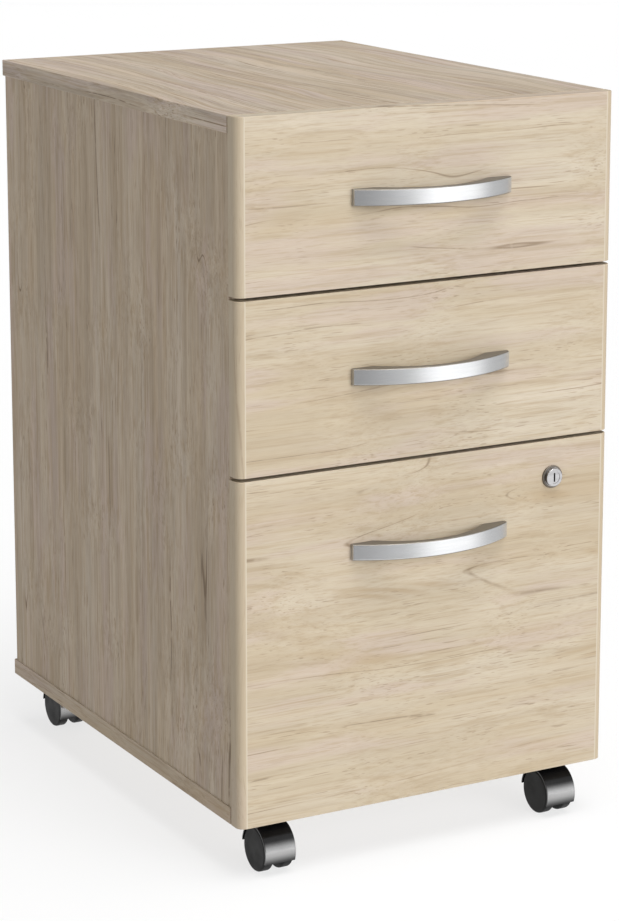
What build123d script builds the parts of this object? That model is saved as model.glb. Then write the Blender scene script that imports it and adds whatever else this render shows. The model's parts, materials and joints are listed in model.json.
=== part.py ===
from build123d import *
import os

# Rolling pedestal cabinet: a wood-grain laminate carcass on four twin-wheel hooded casters,
# with two box drawers above one file drawer. Every drawer runs on side-mounted slides and has
# an arched pull. The file drawer has rails for hanging folders and a cam lock that catches in
# a slot in the rail above it.
#
# Frame: millimetres, +Z up, the drawers open towards -Y, +X is the right-hand side seen from the
# front. The origin is on the floor, under the centre of the whole object's footprint.

# ---- overall sizes ----
CABINET_WIDTH = 396.0  # top panel, bottom panel and drawer fronts
CABINET_DEPTH = 515.0  # face of the drawer fronts to the back edge of the top panel
BOX_FRONT_HEIGHT = 160.0  # each of the two box drawers
FILE_FRONT_HEIGHT = 325.0
FRONT_GAP = 3.0  # between one drawer front and the next

# ---- panels ----
BOARD = 16.0  # thickness of every carcass panel
FRONT_BOARD = 16.0  # thickness of the drawer fronts
BUMPER_GAP = 2.0  # closed drawer front to the carcass's front edges
SIDE_INSET = 1.2  # side panels stand in from the top panel's edge
BACK_INSET = 4.0  # side and back panels stand in from the top panel's back edge
PANEL_EDGE_RADIUS = 0.8
FRONT_CORNER_RADIUS = 8.0  # rounded upright edges of the drawer fronts
FRONT_EDGE_RADIUS = 0.6
RAIL_DEPTH = 70.0  # front rail, front to back
RAIL_DROP = 9.0  # file drawer front's top edge down to the rail's underside

# ---- knock-down fittings that hold the carcass together ----
CAM_DISC_RADIUS = 7.5
CAM_DISC_DEPTH = 12.5
CAM_DISC_INSET = 24.0  # side panel's end to the disc's centre
CAM_DISC_FROM_EDGE = 60.0  # side panel's front or back edge to the disc's centre
CAM_BOLT_RADIUS = 3.5
CAM_BOLT_BITE = 11.0  # bolt inside the top or bottom panel
CAM_BOLT_GAP = 0.2  # bolt's tip to the disc

# ---- drawer boxes ----
SLIDE_SPACE = 12.7  # one slide, carcass side to drawer side
DRAWER_BOARD = 12.0
DRAWER_BOTTOM = 5.0
GROOVE_DEPTH = 4.0
BOTTOM_RISE = 10.0  # drawer side's lower edge up to the drawer bottom
BOX_SIDE_RISE = 16.0  # box drawer front's lower edge up to the drawer side
BOX_SIDE_DROP = 32.0  # box drawer front's top edge down to the drawer side
FILE_SIDE_RISE = 27.0
FILE_SIDE_DROP = 36.0
DRAWER_BACK_SPACE = 24.0  # drawer back to the carcass's back panel

# ---- slides ----
SLIDE_SETBACK = 4.0  # slide's front end behind the drawer front
SLIDE_TAIL = 1.0  # slide's back end ahead of the drawer back
SLIDE_GAUGE = 1.2
BOX_SLIDE_HEIGHT = 35.0
FILE_SLIDE_HEIGHT = 45.0
SLIDE_LIP_GAP = 2.9  # outer channel's lips to the drawer side
SLIDE_RUNNING_GAP = 0.5  # between the lips of one channel and the next
SLIDE_WEB_GAP = 0.6
BOX_SLIDE_LIFT = 40.0  # drawer side's lower edge up to the slide's middle
FILE_SLIDE_LIFT = 110.0

# ---- arched pulls ----
PULL_HOLE_SPACING = 128.0
PULL_END_MARGIN = 18.5  # hole to the pull's end
PULL_ARCH_MARGIN = 5.0  # hole to the foot's inner edge
PULL_HEIGHT = 15.0
PULL_PROJECTION = 28.0
PULL_THICKNESS = 6.0  # at the middle of the arch
PULL_END_DEPTH = 4.5  # flat end beside the drawer front
PULL_EDGE_RADIUS = 1.2
PULL_DROP = 78.5  # drawer front's top edge down to the pull's middle
SCREW_RADIUS = 2.0
SCREW_CLEARANCE = 0.3
PULL_SCREW_BITE = 9.0  # length of screw inside the pull
SCREW_HEAD_RADIUS = 4.0
SCREW_HEAD_HEIGHT = 2.6

# ---- hanging-folder rails ----
FOLDER_RAIL_WALL = 1.5
FOLDER_RAIL_GRIP = 9.0  # how far the clip reaches down the drawer side
FOLDER_RIB_WIDTH = 2.5
FOLDER_RIB_HEIGHT = 6.0

# ---- cam lock ----
LOCK_FROM_RIGHT = 63.0  # drawer front's right edge to the lock's axis
LOCK_DROP = 35.0  # drawer front's top edge to the lock's axis
LOCK_FLANGE_RIM = 3.4  # flange past the barrel
LOCK_FLANGE_DEPTH = 1.5
LOCK_BEZEL_RIM = 1.2  # raised bezel past the barrel
LOCK_BEZEL_DEPTH = 5.0  # bezel's face ahead of the drawer front
LOCK_EDGE_RADIUS = 0.6
LOCK_BARREL_RADIUS = 7.5
LOCK_BARREL_TAIL = 6.0  # barrel behind the drawer front
LOCK_PLUG_RADIUS = 5.8
LOCK_PLUG_CLEARANCE = 0.05
LOCK_PLUG_RECESS = 0.4  # plug's face behind the bezel's face
KEYWAY_WIDTH = 1.7
KEYWAY_HEIGHT = 8.5
KEYWAY_DEPTH = 9.0
LOCK_NUT_WALL = 3.5  # barrel to the nut's corners
LOCK_NUT_THICKNESS = 3.5
CAM_THICKNESS = 2.0
CAM_WIDTH = 12.0
CAM_GAP = 0.4  # barrel's end to the cam
CAM_SQUARE = 6.0  # square tail of the plug that drives the cam
CAM_BITE = 5.5  # how far the turned cam reaches up past the strike plate
CAM_SCREW_RADIUS = 1.5
CAM_SCREW_BITE = 6.0  # screw inside the plug
CAM_SCREW_HEAD_RADIUS = 4.2
CAM_SCREW_HEAD_HEIGHT = 1.6
STRIKE_THICKNESS = 1.2
STRIKE_MARGIN = 6.0
STRIKE_SLOT_WIDTH = 6.0
STRIKE_SLOT_DEPTH = 10.0
STRIKE_SLOT_SIDE = 4.0  # room beside the cam in the slot

# ---- casters ----
CASTER_SIDE_INSET = 44.0  # bottom panel's side edge to the swivel axis
CASTER_TRAIL = 12.0  # swivel axis forward to the axle
WHEEL_RADIUS = 21.0
WHEEL_WIDTH = 10.5
WHEEL_EDGE_RADIUS = 2.0
WHEEL_WALL = 2.5  # wheel material left outside the axle's end
WEB_THICKNESS = 9.0  # hood's web between the two wheels
WHEEL_SIDE_GAP = 0.5  # web to wheel
WHEEL_HOOD_GAP = 0.9  # tread to the inside of the hood
HOOD_WALL = 1.8
HOOD_OVERHANG = 0.4  # hood past each wheel's outer face
HOOD_FRONT_ANGLE = -21.0  # hood's front edge, below the axle's level
HOOD_BACK_ANGLE = 175.0
HOOD_EDGE_RADIUS = 0.8
AXLE_RADIUS = 3.0
AXLE_CLEARANCE = 0.05
AXLE_END_GAP = 0.3
AXLE_BOSS_RADIUS = 7.0
SWIVEL_HEADROOM = 6.3  # hood's top to the underside of the plate
PLATE_THICKNESS = 2.0
PLATE_CORNER = 4.0
PLATE_MARGIN = 1.0  # bottom panel's front or back edge to the plate
PLATE_HOLE_SPACING = 28.0
PLATE_HOLE_MARGIN = 5.0  # hole's centre to the plate's edge
RACEWAY_RADIUS = 12.0
RACEWAY_DEPTH = 2.6
RACEWAY_GAP = 0.4
STEM_BOSS_RADIUS = 8.5
KING_PIN_RADIUS = 4.0
KING_PIN_CLEARANCE = 0.05
KING_PIN_GRIP = 6.5  # king pin inside the hood
KING_PIN_END_GAP = 0.3
KING_PIN_HEAD_RADIUS = 6.0
KING_PIN_HEAD_HEIGHT = 1.2
CASTER_SCREW_RADIUS = 1.9
CASTER_SCREW_HOLE = 2.2
CASTER_SCREW_BITE = 12.0
CASTER_SCREW_HEAD_RADIUS = 3.6
CASTER_SCREW_HEAD_HEIGHT = 2.2

# ---- places worked out from the sizes ----
HOOD_INNER_RADIUS = WHEEL_RADIUS + WHEEL_HOOD_GAP
HOOD_OUTER_RADIUS = HOOD_INNER_RADIUS + HOOD_WALL
WHEEL_INNER_X = WEB_THICKNESS / 2 + WHEEL_SIDE_GAP
WHEEL_OUTER_X = WHEEL_INNER_X + WHEEL_WIDTH
HOOD_HALF_WIDTH = WHEEL_OUTER_X + HOOD_OVERHANG
AXLE_HALF_LENGTH = WHEEL_OUTER_X - WHEEL_WALL - AXLE_END_GAP
PLATE_SIZE = PLATE_HOLE_SPACING + 2 * PLATE_HOLE_MARGIN
PLATE_Z = WHEEL_RADIUS + HOOD_OUTER_RADIUS + SWIVEL_HEADROOM
RACEWAY_Z = PLATE_Z - RACEWAY_DEPTH
BOSS_TOP_Z = RACEWAY_Z - RACEWAY_GAP
BODY_Z = PLATE_Z + PLATE_THICKNESS  # underside of the bottom panel
FILE_TOP_Z = BODY_Z + FILE_FRONT_HEIGHT
MIDDLE_FRONT_Z = FILE_TOP_Z + FRONT_GAP
UPPER_FRONT_Z = MIDDLE_FRONT_Z + BOX_FRONT_HEIGHT + FRONT_GAP
TOP_Z = UPPER_FRONT_Z + BOX_FRONT_HEIGHT
HALF_WIDTH = CABINET_WIDTH / 2
FRONT_Y = (PULL_PROJECTION - CABINET_DEPTH) / 2  # face of the drawer fronts
BACK_Y = FRONT_Y + CABINET_DEPTH
FRONT_BACK_Y = FRONT_Y + FRONT_BOARD  # back of the drawer fronts
CARCASS_Y = FRONT_BACK_Y + BUMPER_GAP  # carcass's front edges
PANEL_BACK_Y = BACK_Y - BACK_INSET
SIDE_X = HALF_WIDTH - SIDE_INSET  # side panels' outer faces
INNER_X = SIDE_X - BOARD
INNER_LOW_Z = BODY_Z + BOARD
INNER_HIGH_Z = TOP_Z - BOARD
DRAWER_X = INNER_X - SLIDE_SPACE  # drawer sides' outer faces
DRAWER_INNER_X = DRAWER_X - DRAWER_BOARD
DRAWER_BACK_Y = PANEL_BACK_Y - BOARD - DRAWER_BACK_SPACE
FILE_SIDE_TOP_Z = FILE_TOP_Z - FILE_SIDE_DROP
FOLDER_CLIP_Z = FILE_SIDE_TOP_Z - FOLDER_RAIL_GRIP
LOCK_X = HALF_WIDTH - LOCK_FROM_RIGHT
LOCK_Z = FILE_TOP_Z - LOCK_DROP
BEZEL_Y = FRONT_Y - LOCK_BEZEL_DEPTH
BARREL_END_Y = FRONT_BACK_Y + LOCK_BARREL_TAIL
CAM_Y = BARREL_END_Y + CAM_GAP
CAM_END_Y = CAM_Y + CAM_THICKNESS
RAIL_Z = FILE_TOP_Z - RAIL_DROP
STRIKE_Z = RAIL_Z - STRIKE_THICKNESS
CAM_REACH = STRIKE_Z + CAM_BITE - LOCK_Z

CASTERS = {
    f"{end}_{hand}": (sign * (HALF_WIDTH - CASTER_SIDE_INSET), y)
    for end, y in (
        ("front", CARCASS_Y + PLATE_MARGIN + PLATE_SIZE / 2),
        ("back", BACK_Y - PLATE_MARGIN - PLATE_SIZE / 2),
    )
    for hand, sign in (("left", -1), ("right", 1))
}

parts = {}


def block(x_range, y_range, z_range):
    """A box from two X, two Y and two Z values, each pair in either order."""
    size = [abs(high - low) for low, high in (x_range, y_range, z_range)]
    centre = [(low + high) / 2 for low, high in (x_range, y_range, z_range)]
    return Pos(*centre) * Box(*size)


def rod(radius, start, end):
    """A round bar between two points."""
    along = Vector(*end) - Vector(*start)
    bar = Cylinder(radius, along.length, align=(Align.CENTER, Align.CENTER, Align.MIN))
    return Plane(origin=start, z_dir=along) * bar


def upright(radius, x, y, z_low, z_high):
    return rod(radius, (x, y, z_low), (x, y, z_high))


def group(solids):
    """Separate solids that share one node."""
    return Compound(children=list(solids))


def cut_through(shape, tools):
    for tool in tools:
        shape -= tool
    return shape


# ---------------------------------------------------------------- carcass


def fitting_centres(side):
    """Disc centre and the direction of its panel (-1 bottom, +1 top) for one side panel."""
    return [
        (side * INNER_X, y, z, direction)
        for y in (CARCASS_Y + CAM_DISC_FROM_EDGE, PANEL_BACK_Y - CAM_DISC_FROM_EDGE)
        for z, direction in (
            (INNER_LOW_Z + CAM_DISC_INSET, -1),
            (INNER_HIGH_Z - CAM_DISC_INSET, 1),
        )
    ]


def cam_disc(side, x, y, z):
    return rod(CAM_DISC_RADIUS, (x, y, z), (x + side * CAM_DISC_DEPTH, y, z))


def cam_bolt(side, y, z, direction):
    """Bolt in the thickness of the side panel, from its disc into the top or bottom panel."""
    x = side * (INNER_X + BOARD / 2)
    start = z + direction * (CAM_DISC_RADIUS + CAM_BOLT_GAP)
    end = z + direction * (CAM_DISC_INSET + CAM_BOLT_BITE)
    return rod(CAM_BOLT_RADIUS, (x, y, start), (x, y, end))


def side_fittings(side):
    places = fitting_centres(side)
    discs = [cam_disc(side, x, y, z) for x, y, z, _ in places]
    bolts = [cam_bolt(side, y, z, direction) for _, y, z, direction in places]
    return discs + bolts


def horizontal_panel(z):
    panel = block((-HALF_WIDTH, HALF_WIDTH), (CARCASS_Y, BACK_Y), (z, z + BOARD))
    panel = fillet(panel.edges(), PANEL_EDGE_RADIUS)
    return cut_through(panel, side_fittings(-1) + side_fittings(1))


def plate_hole_centres(x, y):
    """The four screw places of one caster plate."""
    half = PLATE_HOLE_SPACING / 2
    return [(x + i * half, y + j * half) for i in (-1, 1) for j in (-1, 1)]


def bottom_panel():
    """Lower panel, with a pilot hole for each caster screw and a recess over each king pin."""
    panel = horizontal_panel(BODY_Z)
    for x, y in CASTERS.values():
        panel -= upright(KING_PIN_HEAD_RADIUS, x, y, BODY_Z - 1, BODY_Z + KING_PIN_HEAD_HEIGHT)
        for hole in plate_hole_centres(x, y):
            panel -= upright(CASTER_SCREW_RADIUS, *hole, BODY_Z - 1, BODY_Z + CASTER_SCREW_BITE)
    return panel


def side_panel(side):
    x_range = (side * INNER_X, side * SIDE_X)
    panel = block(x_range, (CARCASS_Y, PANEL_BACK_Y), (INNER_LOW_Z, INNER_HIGH_Z))
    outer_edges = panel.edges().filter_by(Axis.Z).sort_by(lambda edge: side * edge.center().X)
    panel = fillet(outer_edges[-2:], PANEL_EDGE_RADIUS)
    return cut_through(panel, side_fittings(side))


def back_panel():
    y_range = (PANEL_BACK_Y - BOARD, PANEL_BACK_Y)
    return block((-INNER_X, INNER_X), y_range, (INNER_LOW_Z, INNER_HIGH_Z))


def cam_slot(z_range, margin=0.0):
    """The space that the turning cam's tip sweeps through the strike and the rail above it."""
    entry = STRIKE_Z - LOCK_Z
    sweep = (CAM_REACH**2 - entry**2) ** 0.5
    side_room = CAM_WIDTH / 2 + STRIKE_SLOT_SIDE + margin
    middle = CAM_Y + CAM_THICKNESS / 2
    half_width = STRIKE_SLOT_WIDTH / 2 + margin
    return block(
        (LOCK_X - sweep - side_room, LOCK_X + side_room),
        (max(middle - half_width, CARCASS_Y), middle + half_width),
        z_range,
    )


def front_rail():
    """Cross rail between the file drawer and the drawer above, slotted for the cam."""
    rail = block(
        (-INNER_X, INNER_X), (CARCASS_Y, CARCASS_Y + RAIL_DEPTH), (RAIL_Z, RAIL_Z + BOARD)
    )
    return rail - cam_slot((RAIL_Z - 1, RAIL_Z + STRIKE_SLOT_DEPTH))


def lock_strike_plate():
    plate = cam_slot((STRIKE_Z, RAIL_Z), STRIKE_MARGIN)
    return plate - cam_slot((STRIKE_Z - 1, RAIL_Z + 1))


parts["top_panel"] = horizontal_panel(TOP_Z - BOARD)
parts["bottom_panel"] = bottom_panel()
parts["left_side_panel"] = side_panel(-1)
parts["right_side_panel"] = side_panel(1)
parts["back_panel"] = back_panel()
parts["front_rail"] = front_rail()
parts["lock_strike_plate"] = lock_strike_plate()
parts["carcass_fittings"] = group(side_fittings(-1) + side_fittings(1))


# ---------------------------------------------------------------- slides


def channel(side, web_from, lips_to, height, mid_z):
    """A C-shaped slide member. web_from and lips_to are distances out of the carcass side."""
    web_to = web_from + (SLIDE_GAUGE if lips_to > web_from else -SLIDE_GAUGE)
    y_range = (FRONT_BACK_Y + SLIDE_SETBACK, DRAWER_BACK_Y - SLIDE_TAIL)
    low, high = mid_z - height / 2, mid_z + height / 2

    def strip(near, far, z_range):
        return block((side * (INNER_X - near), side * (INNER_X - far)), y_range, z_range)

    web = strip(web_from, web_to, (low, high))
    upper = strip(web_from, lips_to, (high - SLIDE_GAUGE, high))
    lower = strip(web_from, lips_to, (low, low + SLIDE_GAUGE))
    return web + upper + lower


def nested_height(height, depth):
    """Height of a member inside as many channels as depth says."""
    return height - 2 * depth * (SLIDE_GAUGE + SLIDE_RUNNING_GAP)


def nested_web(depth):
    return depth * (SLIDE_GAUGE + SLIDE_WEB_GAP)


def member_pair(web_from, lips_to, height, mid_z):
    return [channel(side, web_from, lips_to, height, mid_z) for side in (-1, 1)]


def cabinet_members(height, mid_z):
    return member_pair(0.0, SLIDE_SPACE - SLIDE_LIP_GAP, height, mid_z)


def middle_members(height, mid_z):
    return member_pair(
        nested_web(1), SLIDE_SPACE - SLIDE_LIP_GAP, nested_height(height, 1), mid_z
    )


def drawer_members(height, mid_z, depth):
    return member_pair(SLIDE_SPACE, nested_web(depth), nested_height(height, depth), mid_z)


def box_slide_z(front_z):
    return front_z + BOX_SIDE_RISE + BOX_SLIDE_LIFT


FILE_SLIDE_Z = BODY_Z + FILE_SIDE_RISE + FILE_SLIDE_LIFT

parts["cabinet_slides"] = group(
    cabinet_members(BOX_SLIDE_HEIGHT, box_slide_z(UPPER_FRONT_Z))
    + cabinet_members(BOX_SLIDE_HEIGHT, box_slide_z(MIDDLE_FRONT_Z))
    + cabinet_members(FILE_SLIDE_HEIGHT, FILE_SLIDE_Z)
)
parts["file_middle_slides"] = group(middle_members(FILE_SLIDE_HEIGHT, FILE_SLIDE_Z))


# ---------------------------------------------------------------- drawers


def pull_hole_centres(front_top_z):
    z = front_top_z - PULL_DROP
    return [(side * PULL_HOLE_SPACING / 2, z) for side in (-1, 1)]


def drawer_bottom(side_z):
    """The drawer's bottom board, which reaches into a groove in all four walls."""
    z = side_z + BOTTOM_RISE
    reach = DRAWER_INNER_X + GROOVE_DEPTH
    y_range = (FRONT_BACK_Y - GROOVE_DEPTH, DRAWER_BACK_Y - DRAWER_BOARD + GROOVE_DEPTH)
    return block((-reach, reach), y_range, (z, z + DRAWER_BOTTOM))


def drawer_front(low_z, height, side_z):
    """Overlay front with rounded upright edges, a groove for the bottom and the pull's holes."""
    front = block((-HALF_WIDTH, HALF_WIDTH), (FRONT_Y, FRONT_BACK_Y), (low_z, low_z + height))
    front = fillet(front.edges().filter_by(Axis.Z).group_by(Axis.Y)[0], FRONT_CORNER_RADIUS)
    ends = front.faces().sort_by(Axis.Z)
    front = fillet(ends[0].edges() + ends[-1].edges(), FRONT_EDGE_RADIUS)
    front -= drawer_bottom(side_z)
    for x, z in pull_hole_centres(low_z + height):
        hole_radius = SCREW_RADIUS + SCREW_CLEARANCE
        front -= rod(hole_radius, (x, FRONT_Y - 1, z), (x, FRONT_BACK_Y + 1, z))
    return front


def drawer_side(side, side_z, top_z):
    x_range = (side * DRAWER_INNER_X, side * DRAWER_X)
    wall = block(x_range, (FRONT_BACK_Y, DRAWER_BACK_Y), (side_z, top_z))
    return wall - drawer_bottom(side_z)


def drawer_back(side_z, top_z):
    y_range = (DRAWER_BACK_Y - DRAWER_BOARD, DRAWER_BACK_Y)
    wall = block((-DRAWER_INNER_X, DRAWER_INNER_X), y_range, (side_z, top_z))
    return wall - drawer_bottom(side_z)


def pull(front_top_z):
    """Arched pull: an outer arc over an inner arc, with a solid foot at each end."""
    half = PULL_HOLE_SPACING / 2 + PULL_END_MARGIN
    foot = PULL_HOLE_SPACING / 2 - PULL_ARCH_MARGIN
    end, inner_crown = -PULL_END_DEPTH, PULL_THICKNESS - PULL_PROJECTION
    outline = make_face(
        [
            ThreePointArc((-half, end), (0, -PULL_PROJECTION), (half, end)),
            Line((half, end), (half, 0)),
            Line((half, 0), (foot, 0)),
            ThreePointArc((foot, 0), (0, inner_crown), (-foot, 0)),
            Line((-foot, 0), (-half, 0)),
            Line((-half, 0), (-half, end)),
        ]
    )
    bar = extrude(outline, PULL_HEIGHT)
    rims = bar.edges().filter_by(GeomType.CIRCLE)
    outer_rims = [edge for edge in rims if edge.length > 2 * half]
    bar = fillet(outer_rims, PULL_EDGE_RADIUS)
    bar = Pos(0, FRONT_Y, front_top_z - PULL_DROP - PULL_HEIGHT / 2) * bar
    for x, z in pull_hole_centres(front_top_z):
        bar -= rod(SCREW_RADIUS, (x, FRONT_Y + 1, z), (x, FRONT_Y - PULL_SCREW_BITE, z))
    return bar


def pull_screw(x, z):
    head_end = FRONT_BACK_Y + SCREW_HEAD_HEIGHT
    shank = rod(SCREW_RADIUS, (x, FRONT_Y - PULL_SCREW_BITE, z), (x, FRONT_BACK_Y, z))
    return shank + rod(SCREW_HEAD_RADIUS, (x, FRONT_BACK_Y, z), (x, head_end, z))


def make_drawer(name, front_z, front_height, side_z, side_top_z, slide_members):
    """All the pieces of one drawer, each as its own node."""
    front_top_z = front_z + front_height
    parts[f"{name}_drawer_front"] = drawer_front(front_z, front_height, side_z)
    parts[f"{name}_drawer_left_side"] = drawer_side(-1, side_z, side_top_z)
    parts[f"{name}_drawer_right_side"] = drawer_side(1, side_z, side_top_z)
    parts[f"{name}_drawer_back"] = drawer_back(side_z, side_top_z)
    parts[f"{name}_drawer_bottom"] = drawer_bottom(side_z)
    parts[f"{name}_drawer_slides"] = group(slide_members)
    parts[f"{name}_pull"] = pull(front_top_z)
    parts[f"{name}_pull_screws"] = group(pull_screw(*hole) for hole in pull_hole_centres(front_top_z))


for drawer_name, drawer_z in (("upper", UPPER_FRONT_Z), ("middle", MIDDLE_FRONT_Z)):
    make_drawer(
        drawer_name,
        drawer_z,
        BOX_FRONT_HEIGHT,
        drawer_z + BOX_SIDE_RISE,
        drawer_z + BOX_FRONT_HEIGHT - BOX_SIDE_DROP,
        drawer_members(BOX_SLIDE_HEIGHT, box_slide_z(drawer_z), 1),
    )
make_drawer(
    "file",
    BODY_Z,
    FILE_FRONT_HEIGHT,
    BODY_Z + FILE_SIDE_RISE,
    FILE_SIDE_TOP_Z,
    drawer_members(FILE_SLIDE_HEIGHT, FILE_SLIDE_Z, 2),
)


# ---------------------------------------------------------------- folder rails


def folder_rail(side):
    """Plastic cap clipped over a file drawer side, with a rib that folder hooks hang on."""
    inner = DRAWER_INNER_X - FOLDER_RAIL_WALL
    outer = DRAWER_X + FOLDER_RAIL_WALL
    y_range = (FRONT_BACK_Y, DRAWER_BACK_Y)
    cap_top = FILE_SIDE_TOP_Z + FOLDER_RAIL_WALL
    cap = block((side * inner, side * outer), y_range, (FOLDER_CLIP_Z, cap_top))
    wall = (side * DRAWER_INNER_X, side * DRAWER_X)
    cap -= block(wall, (FRONT_BACK_Y - 1, DRAWER_BACK_Y + 1), (FOLDER_CLIP_Z - 1, FILE_SIDE_TOP_Z))
    rib = (side * inner, side * (inner + FOLDER_RIB_WIDTH))
    return cap + block(rib, y_range, (cap_top, cap_top + FOLDER_RIB_HEIGHT))


def folder_rail_notch(side):
    """Room in the file drawer's back for the inner lip of one folder rail."""
    x_range = (side * (DRAWER_INNER_X - FOLDER_RAIL_WALL), side * (DRAWER_INNER_X + 1))
    y_range = (DRAWER_BACK_Y - DRAWER_BOARD - 1, DRAWER_BACK_Y + 1)
    return block(x_range, y_range, (FOLDER_CLIP_Z, FILE_SIDE_TOP_Z + 1))


parts["left_folder_rail"] = folder_rail(-1)
parts["right_folder_rail"] = folder_rail(1)
parts["file_drawer_back"] = cut_through(
    parts["file_drawer_back"], [folder_rail_notch(-1), folder_rail_notch(1)]
)


# ---------------------------------------------------------------- cam lock


def along_lock(radius, y_start, y_end):
    return rod(radius, (LOCK_X, y_start, LOCK_Z), (LOCK_X, y_end, LOCK_Z))


def square_at_lock(size, y_range):
    half = size / 2
    return block((LOCK_X - half, LOCK_X + half), y_range, (LOCK_Z - half, LOCK_Z + half))


def lock_housing():
    """Barrel with a raised bezel on a flange that stands on the drawer front's face."""

    def rounded(rim, depth):
        ring = along_lock(LOCK_BARREL_RADIUS + rim, FRONT_Y - depth, FRONT_Y)
        return fillet(ring.edges().group_by(Axis.Y)[0], LOCK_EDGE_RADIUS)

    head = rounded(LOCK_FLANGE_RIM, LOCK_FLANGE_DEPTH) + rounded(LOCK_BEZEL_RIM, LOCK_BEZEL_DEPTH)
    barrel = along_lock(LOCK_BARREL_RADIUS, FRONT_Y, BARREL_END_Y)
    bore = along_lock(LOCK_PLUG_RADIUS + LOCK_PLUG_CLEARANCE, BEZEL_Y - 1, BARREL_END_Y + 1)
    return head + barrel - bore


def lock_plug():
    """Turning plug: keyway in its face, square tail for the cam, threaded for the cam screw."""
    face_y = BEZEL_Y + LOCK_PLUG_RECESS
    keyway = block(
        (LOCK_X - KEYWAY_WIDTH / 2, LOCK_X + KEYWAY_WIDTH / 2),
        (face_y - 1, face_y + KEYWAY_DEPTH),
        (LOCK_Z - KEYWAY_HEIGHT / 2, LOCK_Z + KEYWAY_HEIGHT / 2),
    )
    plug = along_lock(LOCK_PLUG_RADIUS, face_y, CAM_Y) + square_at_lock(
        CAM_SQUARE, (CAM_Y, CAM_END_Y)
    )
    return plug - keyway - along_lock(CAM_SCREW_RADIUS, CAM_END_Y - CAM_SCREW_BITE, CAM_END_Y + 1)


def lock_cam():
    """Flat cam, pointing left while unlocked, with a square hole for the plug's tail."""
    half = CAM_WIDTH / 2
    arm = block(
        (LOCK_X - CAM_REACH, LOCK_X), (CAM_Y, CAM_END_Y), (LOCK_Z - half, LOCK_Z + half)
    )
    arm = fillet(arm.edges().filter_by(Axis.Y).group_by(Axis.X)[0], half / 2)
    eye = along_lock(half, CAM_Y, CAM_END_Y)
    return eye + arm - square_at_lock(CAM_SQUARE, (CAM_Y - 1, CAM_END_Y + 1))


def cam_screw():
    shank = along_lock(CAM_SCREW_RADIUS, CAM_END_Y - CAM_SCREW_BITE, CAM_END_Y)
    head = along_lock(CAM_SCREW_HEAD_RADIUS, CAM_END_Y, CAM_END_Y + CAM_SCREW_HEAD_HEIGHT)
    return shank + head


def lock_nut():
    hexagon = extrude(RegularPolygon(LOCK_BARREL_RADIUS + LOCK_NUT_WALL, 6), LOCK_NUT_THICKNESS)
    nut = Plane(origin=(LOCK_X, FRONT_BACK_Y, LOCK_Z), z_dir=(0, 1, 0)) * hexagon
    return nut - along_lock(LOCK_BARREL_RADIUS, FRONT_Y, BARREL_END_Y)


parts["lock_housing"] = lock_housing()
parts["lock_nut"] = lock_nut()
parts["lock_plug"] = lock_plug()
parts["lock_cam"] = lock_cam()
parts["cam_screw"] = cam_screw()
parts["file_drawer_front"] -= along_lock(LOCK_BARREL_RADIUS, FRONT_Y - 1, FRONT_BACK_Y + 1)


# ---------------------------------------------------------------- casters


def caster_hood(x, y):
    """Hood over an axle ahead of the swivel axis: shell, web, axle boss and swivel boss."""
    axle = Plane(
        origin=(x, y - CASTER_TRAIL, WHEEL_RADIUS), x_dir=(0, -1, 0), z_dir=(-1, 0, 0)
    )

    def drum(radius, half_width):
        return axle * Cylinder(radius, 2 * half_width)

    sector = Cylinder(
        HOOD_OUTER_RADIUS,
        2 * HOOD_HALF_WIDTH,
        arc_size=HOOD_BACK_ANGLE - HOOD_FRONT_ANGLE,
        align=(Align.NONE, Align.NONE, Align.CENTER),
    )
    sector = fillet(sector.edges().filter_by(GeomType.CIRCLE), HOOD_EDGE_RADIUS)
    hood = axle * Rot(0, 0, HOOD_FRONT_ANGLE) * sector
    hood += drum(AXLE_BOSS_RADIUS, WEB_THICKNESS / 2)
    hood += upright(STEM_BOSS_RADIUS, x, y, WHEEL_RADIUS, BOSS_TOP_Z)
    for side in (-1, 1):
        wheel_room = drum(HOOD_INNER_RADIUS, HOOD_HALF_WIDTH)
        hood -= Pos(side * (WEB_THICKNESS / 2 + HOOD_HALF_WIDTH), 0, 0) * wheel_room
    hood -= drum(AXLE_RADIUS, HOOD_HALF_WIDTH)
    pin_end = BOSS_TOP_Z - KING_PIN_GRIP - KING_PIN_END_GAP
    return hood - upright(KING_PIN_RADIUS + KING_PIN_CLEARANCE, x, y, pin_end, BOSS_TOP_Z + 1)


def caster_axle(x, y):
    axle_y = y - CASTER_TRAIL
    start = (x - AXLE_HALF_LENGTH, axle_y, WHEEL_RADIUS)
    return rod(AXLE_RADIUS, start, (x + AXLE_HALF_LENGTH, axle_y, WHEEL_RADIUS))


def caster_wheel(x, y, side):
    """Wheel with a rounded tread and a plain outer face, bored from its inner face."""

    def turned(radius, near, far):
        """A cylinder on the axle between two distances out from the swivel axis."""
        axle_y = y - CASTER_TRAIL
        start = (x + side * near, axle_y, WHEEL_RADIUS)
        return rod(radius, start, (x + side * far, axle_y, WHEEL_RADIUS))

    wheel = turned(WHEEL_RADIUS, WHEEL_INNER_X, WHEEL_OUTER_X)
    wheel = fillet(wheel.edges().filter_by(GeomType.CIRCLE), WHEEL_EDGE_RADIUS)
    bore_end = AXLE_HALF_LENGTH + AXLE_END_GAP
    return wheel - turned(AXLE_RADIUS + AXLE_CLEARANCE, WHEEL_INNER_X - 1, bore_end)


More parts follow.
